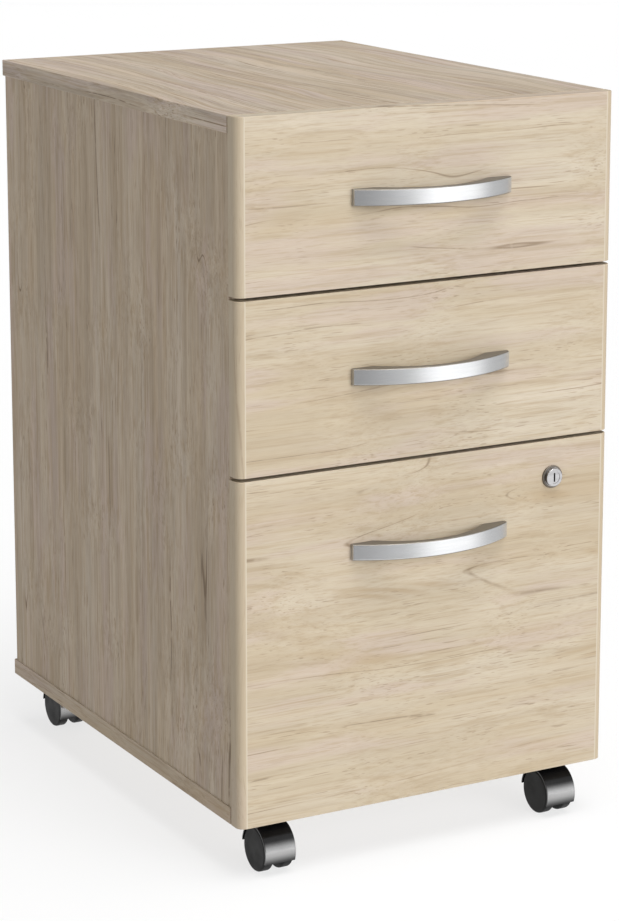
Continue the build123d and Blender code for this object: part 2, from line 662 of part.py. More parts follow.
def caster_plate(x, y):
    """Square plate with a round raceway pressed below it and four screw holes."""
    half = PLATE_SIZE / 2
    plate = block((x - half, x + half), (y - half, y + half), (PLATE_Z, BODY_Z))
    plate = fillet(plate.edges().filter_by(Axis.Z), PLATE_CORNER)
    plate += upright(RACEWAY_RADIUS, x, y, RACEWAY_Z, PLATE_Z)
    plate -= upright(KING_PIN_RADIUS, x, y, RACEWAY_Z - 1, BODY_Z + 1)
    for hole in plate_hole_centres(x, y):
        plate -= upright(CASTER_SCREW_HOLE, *hole, RACEWAY_Z - 1, BODY_Z + 1)
    return plate


def caster_screw(x, y):
    head_z = PLATE_Z - CASTER_SCREW_HEAD_HEIGHT
    shank = upright(CASTER_SCREW_RADIUS, x, y, PLATE_Z, BODY_Z + CASTER_SCREW_BITE)
    return shank + upright(CASTER_SCREW_HEAD_RADIUS, x, y, head_z, PLATE_Z)


def king_pin(x, y):
    """Riveted pin that the hood turns on. Its head sits in the bottom panel's recess."""
    shank = upright(KING_PIN_RADIUS, x, y, BOSS_TOP_Z - KING_PIN_GRIP, BODY_Z)
    return shank + upright(KING_PIN_HEAD_RADIUS, x, y, BODY_Z, BODY_Z + KING_PIN_HEAD_HEIGHT)


centres = CASTERS.values()
parts["caster_plates"] = group(caster_plate(x, y) for x, y in centres)
parts["caster_king_pins"] = group(king_pin(x, y) for x, y in centres)
parts["caster_screws"] = group(
    caster_screw(*hole) for x, y in centres for hole in plate_hole_centres(x, y)
)
for caster_name, (caster_x, caster_y) in CASTERS.items():
    parts[f"{caster_name}_hood"] = caster_hood(caster_x, caster_y)
    parts[f"{caster_name}_axle"] = caster_axle(caster_x, caster_y)
    for wheel_name, wheel_side in (("left", -1), ("right", 1)):
        parts[f"{caster_name}_wheel_{wheel_name}"] = caster_wheel(caster_x, caster_y, wheel_side)


os.makedirs("parts", exist_ok=True)
for node, shape in parts.items():
    export_step(shape, f"parts/{node}.step")
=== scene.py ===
import json
import math

import bmesh
import bpy
from mathutils import Matrix, Vector

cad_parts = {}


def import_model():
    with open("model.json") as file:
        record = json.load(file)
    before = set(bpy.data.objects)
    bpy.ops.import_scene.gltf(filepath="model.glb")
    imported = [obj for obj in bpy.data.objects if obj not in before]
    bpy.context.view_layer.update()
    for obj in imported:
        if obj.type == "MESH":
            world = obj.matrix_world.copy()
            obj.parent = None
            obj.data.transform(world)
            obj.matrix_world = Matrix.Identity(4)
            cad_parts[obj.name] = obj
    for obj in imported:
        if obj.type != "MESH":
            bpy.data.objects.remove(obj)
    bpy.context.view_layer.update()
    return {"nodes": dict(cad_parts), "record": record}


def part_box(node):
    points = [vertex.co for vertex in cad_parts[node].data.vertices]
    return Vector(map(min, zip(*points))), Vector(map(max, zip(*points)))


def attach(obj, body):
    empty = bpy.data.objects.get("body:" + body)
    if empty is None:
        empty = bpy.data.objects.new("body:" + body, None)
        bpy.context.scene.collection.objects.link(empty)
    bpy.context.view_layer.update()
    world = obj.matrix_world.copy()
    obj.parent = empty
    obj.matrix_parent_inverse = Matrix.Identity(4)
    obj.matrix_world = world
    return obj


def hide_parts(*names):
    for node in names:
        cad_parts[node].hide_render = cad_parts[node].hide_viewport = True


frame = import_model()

MM = 0.001
TOUCH = 0.01 * MM
WELD = 0.005 * MM
SMOOTH_TO = 35  # degrees between faces that still look round

# ---------------------------------------------------------------- sizes from the frame

LOCK_LOW, LOCK_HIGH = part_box("lock_housing")
LOCK_CENTRE = (LOCK_LOW + LOCK_HIGH) / 2
LOCK_FLANGE_RADIUS = LOCK_HIGH.x - LOCK_CENTRE.x
PAINTED_SHADE_RING_SHARE = (0.82, 0.86)  # where the painted shade on the flange ring begins, past the raised bezel

# ---------------------------------------------------------------- camera and light values

CAMERA_PLACE = (-1.3442, -2.4549, 1.0299)
CAMERA_YAW = 28.86  # degrees, from straight at the front towards the cabinet's right
CAMERA_PITCH = 11.22  # degrees below level
CAMERA_LENS = 113.5
CAMERA_SHIFT = -0.165
CAMERA_REACH = 200
SENSOR = 36.0

# brightness of the sky by the sine of the elevation
SKY_LEVELS = ((-0.05, 1.0), (0.05, 1.0), (0.28, 0.22), (1.0, 0.16))
FLOOR_RADIUS = 60.0
FLOOR_TONE = 0.18
FLOOR_GLOW = 0.74
# azimuth, elevation and spread in degrees, and strength
FRONT_LIGHT = (17, 16, 40, 2.47)
TOP_LIGHT = (20, 76, 40, 3.0)
SCREEN_DISTANCE = 0.95
SCREEN_TOP = 1.2
SCREEN_PANES = 44
# brightness of the screen by azimuth in degrees
SCREEN_LEVELS = (
    (-90, 0.22),
    (-31, 0.30),
    (-2, 0.46),
    (22, 1.15),
    (38, 1.15),
    (60, 0.52),
    (92, 0.40),
    (130, 0.36),
)


# ---------------------------------------------------------------- node helpers


def linear(red, green, blue):
    """A linear RGBA colour from three 0 to 255 display values."""
    def one(value):
        value /= 255
        return value / 12.92 if value <= 0.04045 else ((value + 0.055) / 1.055) ** 2.4
    return (one(red), one(green), one(blue), 1.0)


class Tree:
    """Short calls that add nodes to one material."""

    def __init__(self, name, **shader_values):
        self.material = bpy.data.materials.new(name)
        self.material.use_nodes = True
        self.tree = self.material.node_tree
        self.shader = self.tree.nodes["Principled BSDF"]
        for socket, value in shader_values.items():
            self.shader.inputs[socket.replace("_", " ")].default_value = value

    def add(self, kind, inputs=(), **settings):
        node = self.tree.nodes.new(f"ShaderNode{kind}")
        for setting, value in settings.items():
            setattr(node, setting, value)
        for socket, value in dict(inputs).items():
            if isinstance(value, bpy.types.NodeSocket):
                self.tree.links.new(value, node.inputs[socket])
            else:
                node.inputs[socket].default_value = value
        return node

    def place(self):
        return self.add("TexCoord").outputs["Object"]

    def math(self, operation, *values):
        return self.add("Math", enumerate(values), operation=operation).outputs[0]

    def stretch(self, vector, scale, offset=(0, 0, 0)):
        inputs = {"Vector": vector, "Scale": scale, "Location": offset}
        return self.add("Mapping", inputs).outputs["Vector"]

    def noise(self, vector, detail=2.0, warp=0.0, rough=0.5):
        inputs = {"Vector": vector, "Scale": 1.0, "Detail": detail, "Roughness": rough}
        return self.add("TexNoise", {**inputs, "Distortion": warp}).outputs["Fac"]

    def remap(self, value, low, high, to_low=0.0, to_high=1.0):
        inputs = {"Value": value, 1: low, 2: high, 3: to_low, 4: to_high}
        return self.add("MapRange", inputs, interpolation_type="SMOOTHSTEP").outputs[0]

    def mix(self, factor, first, second, blend="MIX"):
        node = self.add("Mix", {0: factor, 6: first, 7: second}, data_type="RGBA", blend_type=blend)
        return node.outputs[2]

    def mix_vector(self, factor, first, second):
        return self.add("Mix", {0: factor, 4: first, 5: second}, data_type="VECTOR").outputs[1]

    def bump(self, height, strength, distance):
        inputs = {"Height": height, "Strength": strength, "Distance": distance}
        return self.add("Bump", inputs).outputs["Normal"]

    def finish(self, colour=None, rough=None, normal=None):
        for socket, value in (("Base Color", colour), ("Roughness", rough), ("Normal", normal)):
            if value is not None:
                self.tree.links.new(value, self.shader.inputs[socket])
        return self.material


# ---------------------------------------------------------------- wood laminate

AXES = "XYZ"
WOOD_ALBEDO = 0.63


def wood(red, green, blue):
    """A wood tone as it looks on a lit front, taken back to the board's own colour."""
    return (*(WOOD_ALBEDO * value for value in linear(red, green, blue)[:3]), 1.0)


WOOD_BASE = wood(214, 199, 175)
WOOD_CREAM = wood(222, 209, 189)
WOOD_ROSE = wood(212, 194, 177)
WOOD_STRAW = wood(211, 195, 167)
WOOD_TAN = wood(204, 186, 158)
WOOD_STREAK = wood(188, 167, 136)
WOOD_HEART = wood(184, 158, 120)
WOOD_PORE = wood(142, 119, 91)
WOOD_EDGE = wood(207, 189, 162)
# painted highlight of the rounded edge, lighter than the face
WOOD_PAINTED_HIGHLIGHT = wood(222, 210, 189)
END_NORMAL = (0.5, 0.62)  # how far a normal turns along the grain where a board's end begins
STRIP_BLEND = 0.2 * MM
PAINTED_HIGHLIGHT_REACH = 0.9 * MM  # painted highlight line, each way from where the edge strip begins

# noise scales per metre, along the grain and then across it
DRIFT = (2.4, 4.0, 4.0)
BANDS = (1.5, 24.0, 24.0)
PATCHES = (4.5, 34.0, 34.0)
STREAKS = (3.4, 210.0, 210.0)
LINES = (9.0, 640.0, 640.0)
FIBRE = (110.0, 2400.0, 2400.0)
TONE = (1.6, 75.0, 75.0)
HEARTS = (2.8, 21.0, 21.0)
SWELL = (1.9, 12.0, 12.0)
DASHES = (30.0, 900.0, 900.0)
DASH_CROWDS = (5.0, 60.0, 60.0)
LONG_LINES = (0.8, 36.0, 36.0)
LONG_LINE_GATE = (6.0, 45.0, 45.0)
LONG_LINE_BREAKS = (90.0, 90.0, 90.0)

DRIFT_REACH = 22 * MM  # how far the grain wanders sideways
RING_COUNT = 130.0  # radians of the cathedral wave as its noise goes from 0 to 1

# each board's share of red, green and blue: on one laminate, the top's lift is painted light and the
# carcass's darkening painted shade
FRONT_TINT = (1.0, 1.0, 1.0)
TOP_PAINTED_LIGHT_TINT = (1.02, 1.02, 1.08)
CARCASS_PAINTED_SHADE_TINT = (0.94, 0.905, 0.90)


def grain_place(tree, along, ends_along, offset, strip_from):
    """Coordinates with the grain along their X, on faces beside the grain and on the board's ends.

    The ends are where the normal turns along the grain, or past strip_from from the middle.
    """
    place = tree.place()
    split = tree.add("SeparateXYZ", {0: tree.stretch(place, (1, 1, 1), offset)}).outputs
    others = [axis for axis in AXES if axis != along]
    face = tree.add("CombineXYZ", {0: split[along], 1: split[others[0]], 2: split[others[1]]})
    rest = [axis for axis in AXES if axis != ends_along]
    ends = tree.add("CombineXYZ", {0: split[ends_along], 1: split[rest[0]], 2: split[rest[1]]})
    if strip_from:
        out = tree.math("ABSOLUTE", tree.add("SeparateXYZ", {0: place}).outputs[along])
        is_end = tree.remap(out, strip_from, strip_from + STRIP_BLEND)
        # painted highlight line where the rounded edge strip begins
        from_strip_start = tree.math("ABSOLUTE", tree.math("SUBTRACT", out, strip_from))
        painted_highlight = tree.remap(from_strip_start, STRIP_BLEND, PAINTED_HIGHLIGHT_REACH, 1, 0)
    else:
        normal = tree.add("SeparateXYZ", {0: tree.add("TexCoord").outputs["Normal"]}).outputs[along]
        is_end = tree.remap(tree.math("ABSOLUTE", normal), *END_NORMAL)
        painted_highlight = None
    return tree.mix_vector(is_end, face.outputs[0], ends.outputs[0]), is_end, painted_highlight


def laminate(name, along, ends_along, offset, depth, heart, swing, tint, strip_from=None):
    """Printed wood laminate.

    depth sets the grain's contrast, heart its brown cathedral bands, swing how far the board's tone
    goes up and down across the grain, and tint its share of red, green and blue, which on the top is
    painted light and on the carcass painted shade.
    """
    tree = Tree(name, Specular_IOR_Level=0.26)
    grain, is_end, painted_highlight = grain_place(tree, along, ends_along, offset, strip_from)
    drift = tree.noise(tree.stretch(grain, DRIFT), detail=2.0)
    sideways = tree.remap(drift, 0.2, 0.8, -DRIFT_REACH, DRIFT_REACH)
    shift = tree.add("CombineXYZ", {1: sideways}).outputs[0]
    bent = tree.add("VectorMath", {0: grain, 1: shift}, operation="ADD").outputs[0]

    bands = tree.noise(tree.stretch(bent, BANDS), detail=3.0)
    patches = tree.noise(tree.stretch(bent, PATCHES, (4.0, 2.0, 7.0)), detail=3.0)
    streaks = tree.noise(tree.stretch(bent, STREAKS), detail=4.0, rough=0.66)
    lines = tree.noise(tree.stretch(bent, LINES), detail=2.0, rough=0.65)
    fibre = tree.noise(tree.stretch(grain, FIBRE), detail=1.0)
    tone = tree.noise(tree.stretch(bent, TONE, (7.0, 3.0, 5.0)), detail=6.0, rough=0.8)

    colour = tree.mix(tree.remap(bands, 0.42, 0.64, 0.0, 0.8), WOOD_BASE, WOOD_TAN)
    colour = tree.mix(tree.remap(bands, 0.48, 0.32, 0.0, 0.7), colour, WOOD_CREAM)
    colour = tree.mix(tree.remap(patches, 0.50, 0.64, 0.0, 0.85), colour, WOOD_ROSE)
    colour = tree.mix(tree.remap(patches, 0.46, 0.34, 0.0, 0.45), colour, WOOD_STRAW)
    colour = tree.mix(tree.remap(streaks, 0.50, 0.68, 0.0, depth), colour, WOOD_STREAK)
    colour = tree.mix(tree.remap(streaks, 0.46, 0.30, 0.0, 0.5 * depth), colour, WOOD_CREAM)

    where = tree.noise(tree.stretch(bent, HEARTS, (9.0, 4.0, 1.0)), detail=2.0)
    heart_mask = tree.math("MULTIPLY", tree.remap(where, 0.58, 0.74, 0.0, heart), cathedral(tree, bent))
    colour = tree.mix(heart_mask, colour, WOOD_HEART)
    colour = tree.mix(tree.remap(lines, 0.50, 0.76, 0.0, depth), colour, WOOD_STREAK)
    colour = tree.mix(pores(tree, bent, depth), colour, WOOD_PORE)
    colour = tree.mix(long_lines(tree, bent, depth), colour, WOOD_PORE)
    colour = tree.mix(tree.remap(fibre, 0.40, 0.75, 0.0, 0.35 * depth), colour, WOOD_STREAK)
    colour = tree.mix(1.0, colour, tree.remap(tone, 0.34, 0.66, 1 - swing, 1 + swing), "MULTIPLY")
    # tint: painted light on the top panel, painted shade on the carcass boards
    colour = tree.mix(1.0, colour, (*tint, 1.0), "MULTIPLY")
    if painted_highlight:
        colour = tree.mix(tree.math("MULTIPLY", is_end, 0.55), colour, WOOD_EDGE)
        # painted highlight along where the rounded edge begins
        colour = tree.mix(painted_highlight, colour, WOOD_PAINTED_HIGHLIGHT)

    rough = tree.remap(lines, 0.3, 0.8, 0.54, 0.68)
    relief = tree.math("ADD", tree.math("MULTIPLY", lines, 0.6), tree.math("MULTIPLY", fibre, 0.4))
    return tree.finish(colour, rough, tree.bump(relief, 0.10, 0.25 * MM))


def cathedral(tree, place):
    """0 to 1, in wavy rings that close slowly along the grain."""
    swell = tree.noise(tree.stretch(place, SWELL, (3.0, 8.0, 5.0)), detail=1.0)
    wave = tree.math("SINE", tree.math("MULTIPLY", swell, RING_COUNT))
    return tree.remap(wave, -1.0, 1.0, 0.35, 1.0)


def pores(tree, place, depth):
    """Short dark dashes, in loose groups."""
    dash = tree.noise(tree.stretch(place, DASHES), detail=1.0)
    crowd = tree.noise(tree.stretch(place, DASH_CROWDS, (2.0, 5.0, 3.0)), detail=1.0)
    few = tree.remap(crowd, 0.44, 0.64, 0.15, depth)
    return tree.math("MULTIPLY", tree.remap(dash, 0.62, 0.72), few)


def long_lines(tree, place, depth):
    """A few thin dark lines, some 50 to 150 mm long."""
    level = tree.noise(tree.stretch(place, LONG_LINES, (6.0, 1.0, 9.0)), detail=0.0)
    off_line = tree.math("ABSOLUTE", tree.math("SUBTRACT", level, 0.5))
    near = tree.remap(off_line, 0.0, 0.012, 1.0, 0.0)
    gate = tree.noise(tree.stretch(place, LONG_LINE_GATE, (1.0, 9.0, 2.0)), detail=1.0)
    broken = tree.noise(tree.stretch(place, LONG_LINE_BREAKS), detail=1.0)
    strength = tree.remap(broken, 0.3, 0.5, 0.3, depth + 0.2)
    open_at = tree.math("MULTIPLY", tree.remap(gate, 0.50, 0.62), strength)
    return tree.math("MULTIPLY", near, open_at)


# ---------------------------------------------------------------- other materials


def foil_board(along):
    """Light foil wrap of the drawer boxes, with a faint fine grain along one axis."""
    tree = Tree(f"drawer_foil_{along}", Specular_IOR_Level=0.4)
    place = tree.place()
    grain_scale = [9.0 if axis == along else 240.0 for axis in AXES]
    fleck_scale = [60.0 if axis == along else 800.0 for axis in AXES]
    grain = tree.noise(tree.stretch(place, grain_scale), detail=3.0)
    flecks = tree.noise(tree.stretch(place, fleck_scale), detail=1.0)
    colour = tree.mix(tree.remap(grain, 0.35, 0.7), linear(222, 212, 193), linear(206, 193, 170))
    colour = tree.mix(tree.remap(flecks, 0.6, 0.8, 0.0, 0.3), colour, linear(178, 160, 132))
    rough = tree.remap(grain, 0.3, 0.7, 0.5, 0.62)
    return tree.finish(colour, rough, tree.bump(flecks, 0.08, 0.2 * MM))


def black_zinc():
    """Black zinc plate with fine marks and slow cloudy variation."""
    tree = Tree("plate_black_zinc", Metallic=0.6)
    place = tree.place()
    marks = tree.noise(tree.stretch(place, (1400.0, 1400.0, 1400.0)), detail=3.0)
    cloud = tree.noise(tree.stretch(place, (38.0, 38.0, 38.0)), detail=3.0)
    worn = tree.math("ADD", tree.math("MULTIPLY", marks, 0.5), tree.math("MULTIPLY", cloud, 0.5))
    colour = tree.mix(tree.remap(worn, 0.38, 0.62), linear(46, 46, 48), linear(34, 34, 36))
    rough = tree.remap(worn, 0.35, 0.65, 0.36, 0.5)
    return tree.finish(colour, rough, tree.bump(marks, 0.18, 0.05 * MM))


def metal_with_painted_shade(name, face_light, face_dark, painted_shade_tone, rough, turned, shaded_ring=None):
    """Satin metal facing the front, with painted shade where the normal turns to other axes: darker and
    rougher there.

    turned gives, for each of those axes, where the painted shade starts and where it is full. The last
    argument is a centre and the radii about it, in the front's plane, between which the painted shade comes
    in.
    """
    tree = Tree(name, Metallic=1.0)
    place = tree.place()
    normal = tree.add("SeparateXYZ", {0: tree.add("TexCoord").outputs["Normal"]}).outputs
    painted_shade_rims = [tree.remap(tree.math("ABSOLUTE", normal[axis]), *limits) for axis, limits in turned.items()]
    rim = tree.math("MAXIMUM", *painted_shade_rims)
    if shaded_ring:
        centre, start, full = shaded_ring
        split = tree.add("SeparateXYZ", {0: place}).outputs
        offsets = [tree.math("SUBTRACT", split[axis], centre[AXES.index(axis)]) for axis in "XZ"]
        squares = [tree.math("POWER", offset, 2.0) for offset in offsets]
        from_centre = tree.math("SQRT", tree.math("ADD", *squares))
        # painted shade in a ring about the centre, past the given radius
        rim = tree.math("MAXIMUM", rim, tree.remap(from_centre, start, full))
    cloud = tree.noise(tree.stretch(place, (14.0, 60.0, 220.0)), detail=2.0)
    marks = tree.noise(tree.stretch(place, (40.0, 900.0, 2400.0)), detail=2.0)
    face = tree.mix(tree.remap(cloud, 0.3, 0.7), face_light, face_dark)
    # painted shade: faces turned away from the front take the darker tone
    colour = tree.mix(rim, face, painted_shade_tone)
    face_rough = tree.remap(cloud, 0.3, 0.7, rough, rough + 0.05)
    rough_map = tree.math("ADD", face_rough, tree.math("MULTIPLY", rim, 0.22))
    return tree.finish(colour, rough_map, tree.bump(marks, 0.03, 0.03 * MM))


def zinc_plate(name, rough=0.34):
    """Zinc plate with a faint crystalline mottle and a warm and cool tint."""
    tree = Tree(name, Metallic=1.0)
    place = tree.place()
    cells = tree.add("TexVoronoi", {"Vector": place, "Scale": 260.0}).outputs["Color"]
    tone = tree.add("SeparateColor", {0: cells}).outputs[0]
    cloud = tree.noise(tree.stretch(place, (30.0, 30.0, 30.0)), detail=3.0)
    colour = tree.mix(tree.remap(tone, 0.0, 1.0, 0.0, 0.5), linear(196, 198, 200), linear(168, 171, 174))
    colour = tree.mix(tree.remap(cloud, 0.45, 0.7, 0.0, 0.35), colour, linear(186, 180, 162))
    rough_map = tree.remap(cloud, 0.3, 0.7, rough - 0.07, rough + 0.1)
    return tree.finish(colour, rough_map, tree.bump(tone, 0.05, 0.05 * MM))


def moulded(name, dark, light, rough, dust, grain, gloss):
    """Moulded plastic with a fine spark texture and a little dust and handling variation."""
    tree = Tree(name, Specular_IOR_Level=gloss)
    place = tree.place()
    spark = tree.noise(tree.stretch(place, (1900.0, 1900.0, 1900.0)), detail=1.0)
    cloud = tree.noise(tree.stretch(place, (70.0, 70.0, 70.0)), detail=4.0)
    scuffs = tree.noise(tree.stretch(place, (900.0, 160.0, 420.0)), detail=2.0, warp=0.6)
    colour = tree.mix(tree.remap(cloud, 0.35, 0.7), dark, light)
    colour = tree.mix(tree.remap(scuffs, 0.62, 0.78, 0.0, dust), colour, linear(120, 116, 110))
    rough_map = tree.remap(cloud, 0.3, 0.7, rough - 0.05, rough + 0.1)
    return tree.finish(colour, rough_map, tree.bump(spark, grain, 0.05 * MM))


def hood_with_painted_highlight():
    """Black glossy nylon with a painted highlight band: its gloss is high only where the hood's round front
    faces out, and low below and above.
    """
    tree = Tree("hood_nylon", IOR=2.6)
    place = tree.place()
    normal = tree.add("SeparateXYZ", {0: tree.add("TexCoord").outputs["Normal"]}).outputs
    # painted highlight: the gloss is raised only on the band where the hood's front faces out
    rise = tree.remap(normal["Z"], -0.38, 0.06, 0.05, 1.0)
    fall = tree.remap(normal["Z"], 0.14, 0.56, 1.0, 0.05)
    front = tree.remap(normal["Y"], -0.35, -0.7, 0.1, 1.0)
    gloss = tree.math("MULTIPLY", tree.math("MINIMUM", rise, fall), front)
    tree.tree.links.new(gloss, tree.shader.inputs["Specular IOR Level"])
    spark = tree.noise(tree.stretch(place, (1900.0, 1900.0, 1900.0)), detail=1.0)
    cloud = tree.noise(tree.stretch(place, (70.0, 70.0, 70.0)), detail=4.0)
    colour = tree.mix(tree.remap(cloud, 0.35, 0.7), linear(13, 13, 14), linear(18, 18, 19))
    return tree.finish(colour, tree.remap(cloud, 0.3, 0.7, 0.16, 0.24), tree.bump(spark, 0.03, 0.05 * MM))


MATERIALS = {
    # pull: painted shade on its top, bottom and end faces, the darker tone 132, 128, 122
    "satin_nickel": metal_with_painted_shade(
        "satin_nickel", linear(233, 234, 235), linear(226, 227, 229), linear(132, 128, 122), 0.2,
        {"Z": (0.12, 0.5), "X": (0.8, 1.25)},
    ),
    "slide_steel": zinc_plate("slide_zinc"),
    "zinc_steel": zinc_plate("fastener_zinc", 0.28),
    # lock: painted shade on the bezel's side walls and on the flange ring around it, the darker tone 112,
    # 105, 97
    "lock_chrome": metal_with_painted_shade(
        "lock_chrome", linear(190, 189, 190), linear(168, 167, 168), linear(112, 105, 97), 0.24,
        {"Z": (0.75, 0.97), "X": (0.75, 0.97)},
        (LOCK_CENTRE, *(share * LOCK_FLANGE_RADIUS for share in PAINTED_SHADE_RING_SHARE)),
    ),
    "rail_plastic": moulded(
        "rail_plastic", linear(34, 34, 35), linear(42, 42, 43), rough=0.5, dust=0.1, grain=0.12, gloss=0.4
    ),
    "plate_steel": black_zinc(),
    "hood_nylon": hood_with_painted_highlight(),
    "wheel_nylon": moulded(
        "wheel_nylon", linear(17, 17, 17), linear(23, 23, 23), rough=0.45, dust=0.06, grain=0.1, gloss=0.16
    ),
    "drawer_box": foil_board("Y"),
}

# along and ends_along, the offset into the noise, and then depth, heart, swing and tint, the tint being
# painted light on the top and painted shade on the carcass
WOOD_PANELS = {
    "upper_drawer_front": ("X", "Z", (0.31, 0.0, 0.40), 0.52, 0.3, 0.04, FRONT_TINT),
    "middle_drawer_front": ("X", "Z", (1.42, 0.0, 0.10), 0.52, 0.35, 0.04, FRONT_TINT),
    "file_drawer_front": ("X", "Z", (2.73, 0.0, 0.85), 0.56, 0.7, 0.04, FRONT_TINT),
    "top_panel": ("Y", "X", (0.6, 3.1, 0.2), 0.9, 0.25, 0.19, TOP_PAINTED_LIGHT_TINT),
    "bottom_panel": ("Y", "X", (0.2, 4.3, 0.5), 0.9, 0.3, 0.08, CARCASS_PAINTED_SHADE_TINT),
    "left_side_panel": ("Z", "Y", (0.4, 0.7, 5.2), 0.9, 0.35, 0.13, CARCASS_PAINTED_SHADE_TINT),
    "right_side_panel": ("Z", "Y", (0.9, 0.1, 6.4), 0.9, 0.35, 0.13, CARCASS_PAINTED_SHADE_TINT),
    "back_panel": ("Z", "X", (0.3, 0.6, 7.7), 0.9, 0.35, 0.13, CARCASS_PAINTED_SHADE_TINT),
    "front_rail": ("X", "Z", (0.8, 0.2, 8.1), 0.9, 0.3, 0.08, CARCASS_PAINTED_SHADE_TINT),
}


def flat_reach(node):
    """How far a drawer front's flat face reaches from the middle before its upright edges round off."""
    vertices = frame["nodes"][node].data.vertices
    face_y = min(vertex.co.y for vertex in vertices)
    return max(vertex.co.x for vertex in vertices if vertex.co.y < face_y + TOUCH)


def paint(node, material):
    mesh = frame["nodes"][node].data
    mesh.materials.clear()
    mesh.materials.append(material)


CROSSWISE_FOIL = foil_board("X")
SLOTS = {part["node"]: part["material_slot"] for part in frame["record"]["subparts"]}

for node, slot in SLOTS.items():
    if node in WOOD_PANELS:
        strip_from = flat_reach(node) if slot == "laminate_fronts" else None
        paint(node, laminate(f"laminate_{node}", *WOOD_PANELS[node], strip_from))
    elif node.endswith("_drawer_back"):
        paint(node, CROSSWISE_FOIL)
    else:
        paint(node, MATERIALS[slot])


# ---------------------------------------------------------------- screws


SCREW_SIDES = 32
THREAD_ROOT = 0.84  # share of the shank's radius
RECESS_LENGTH = 1.1  # cross recess, as shares of the head's radius, radius and height
RECESS_WIDTH = 0.24
RECESS_DEPTH = 1.1
RECESS_TAPER = 0.45
RECESS_TURN = 37  # degrees from one screw's recess to the next
PULL_SCREW_PITCH = 0.7 * MM
CASTER_SCREW_PITCH = 1.6 * MM
CAM_SCREW_PITCH = 0.5 * MM


def lathe(mesh, profile, steps):
    """Revolves (radius, height) points about Z into a closed skin."""
    rings = []
    for radius, height in profile:
        if radius == 0:
            rings.append([mesh.verts.new((0, 0, height))])
            continue
        turns = [2 * math.pi * step / steps for step in range(steps)]
        places = [(radius * math.cos(turn), radius * math.sin(turn), height) for turn in turns]
        rings.append([mesh.verts.new(place) for place in places])
    for low, high in zip(rings, rings[1:]):
        for step in range(steps):
            after = (step + 1) % steps
            corners = [low[step % len(low)], low[after % len(low)]]
            corners += [high[after % len(high)], high[step % len(high)]]
            mesh.faces.new(list(dict.fromkeys(corners)))


def pan_screw_mesh(name, head_radius, head_height, shank_radius, length, pitch):
    """Pan-head screw along Z: head above 0, threaded shank below, cross recess in the head."""
    crown = [(0, 1), (0.45, 0.97), (0.78, 0.84), (0.95, 0.55), (1, 0.2), (1, 0)]
    head = [(head_radius * out, head_height * up) for out, up in crown]
    crests = int(length / pitch) - 2
    root = shank_radius * THREAD_ROOT
    shank = [(shank_radius, 0), (shank_radius, -pitch)]
    for turn in range(1, crests + 1):
        shank += [(root, -(turn + 0.25) * pitch), (shank_radius, -(turn + 0.75) * pitch)]
    shank += [(root * 0.8, -length + pitch * 0.3), (0, -length)]
    mesh = bmesh.new()
    lathe(mesh, head + shank, SCREW_SIDES)
    bmesh.ops.recalc_face_normals(mesh, faces=mesh.faces)
    data = bpy.data.meshes.new(name)
    mesh.to_mesh(data)
    mesh.free()
    return cut_cross(data, head_radius, head_height)


def cut_cross(data, head_radius, head_height):
    """The same screw with a tapered cross recess."""
    screw = bpy.data.objects.new("screw_blank", data)
    tool = bmesh.new()
    size = (head_radius * RECESS_LENGTH, head_radius * RECESS_WIDTH, head_height * RECESS_DEPTH, 1)
    blade = Matrix.Translation((0, 0, head_height)) @ Matrix.Diagonal(size)
    for quarter in (0, 90):
        turned = Matrix.Rotation(math.radians(quarter), 4, "Z") @ blade
        bmesh.ops.create_cube(tool, size=1, matrix=turned)
    for corner in tool.verts:
        if corner.co.z < head_height:
            corner.co.x *= RECESS_TAPER
            corner.co.y *= RECESS_TAPER
    tool_data = bpy.data.meshes.new("cross_tool")
    tool.to_mesh(tool_data)
    tool.free()
    cutter = bpy.data.objects.new("cross_tool", tool_data)
    for item in (screw, cutter):
        bpy.context.scene.collection.objects.link(item)
    cut = screw.modifiers.new("cross", "BOOLEAN")
    cut.operation = "DIFFERENCE"
    cut.solver = "EXACT"
    cut.use_self = True
    cut.object = cutter
    graph = bpy.context.evaluated_depsgraph_get()
    result = bpy.data.meshes.new_from_object(screw.evaluated_get(graph))
    for item in (screw, cutter):
        bpy.data.objects.remove(item)
    return result


def islands(node):
    """The vertices of each separate solid in a CAD node."""
    mesh = bmesh.new()
    mesh.from_mesh(frame["nodes"][node].data)
    bmesh.ops.remove_doubles(mesh, verts=mesh.verts, dist=WELD)
    left = set(mesh.verts)
    found = []
    for start in mesh.verts:
        if start not in left:
            continue
        left.discard(start)
        solid, edge_of = [start], [start]
        while edge_of:
            for edge in edge_of.pop().link_edges:
                for vertex in edge.verts:
                    if vertex in left:
                        left.discard(vertex)
                        solid.append(vertex)
                        edge_of.append(vertex)
        found.append([vertex.co.copy() for vertex in solid])
    mesh.free()
    return found


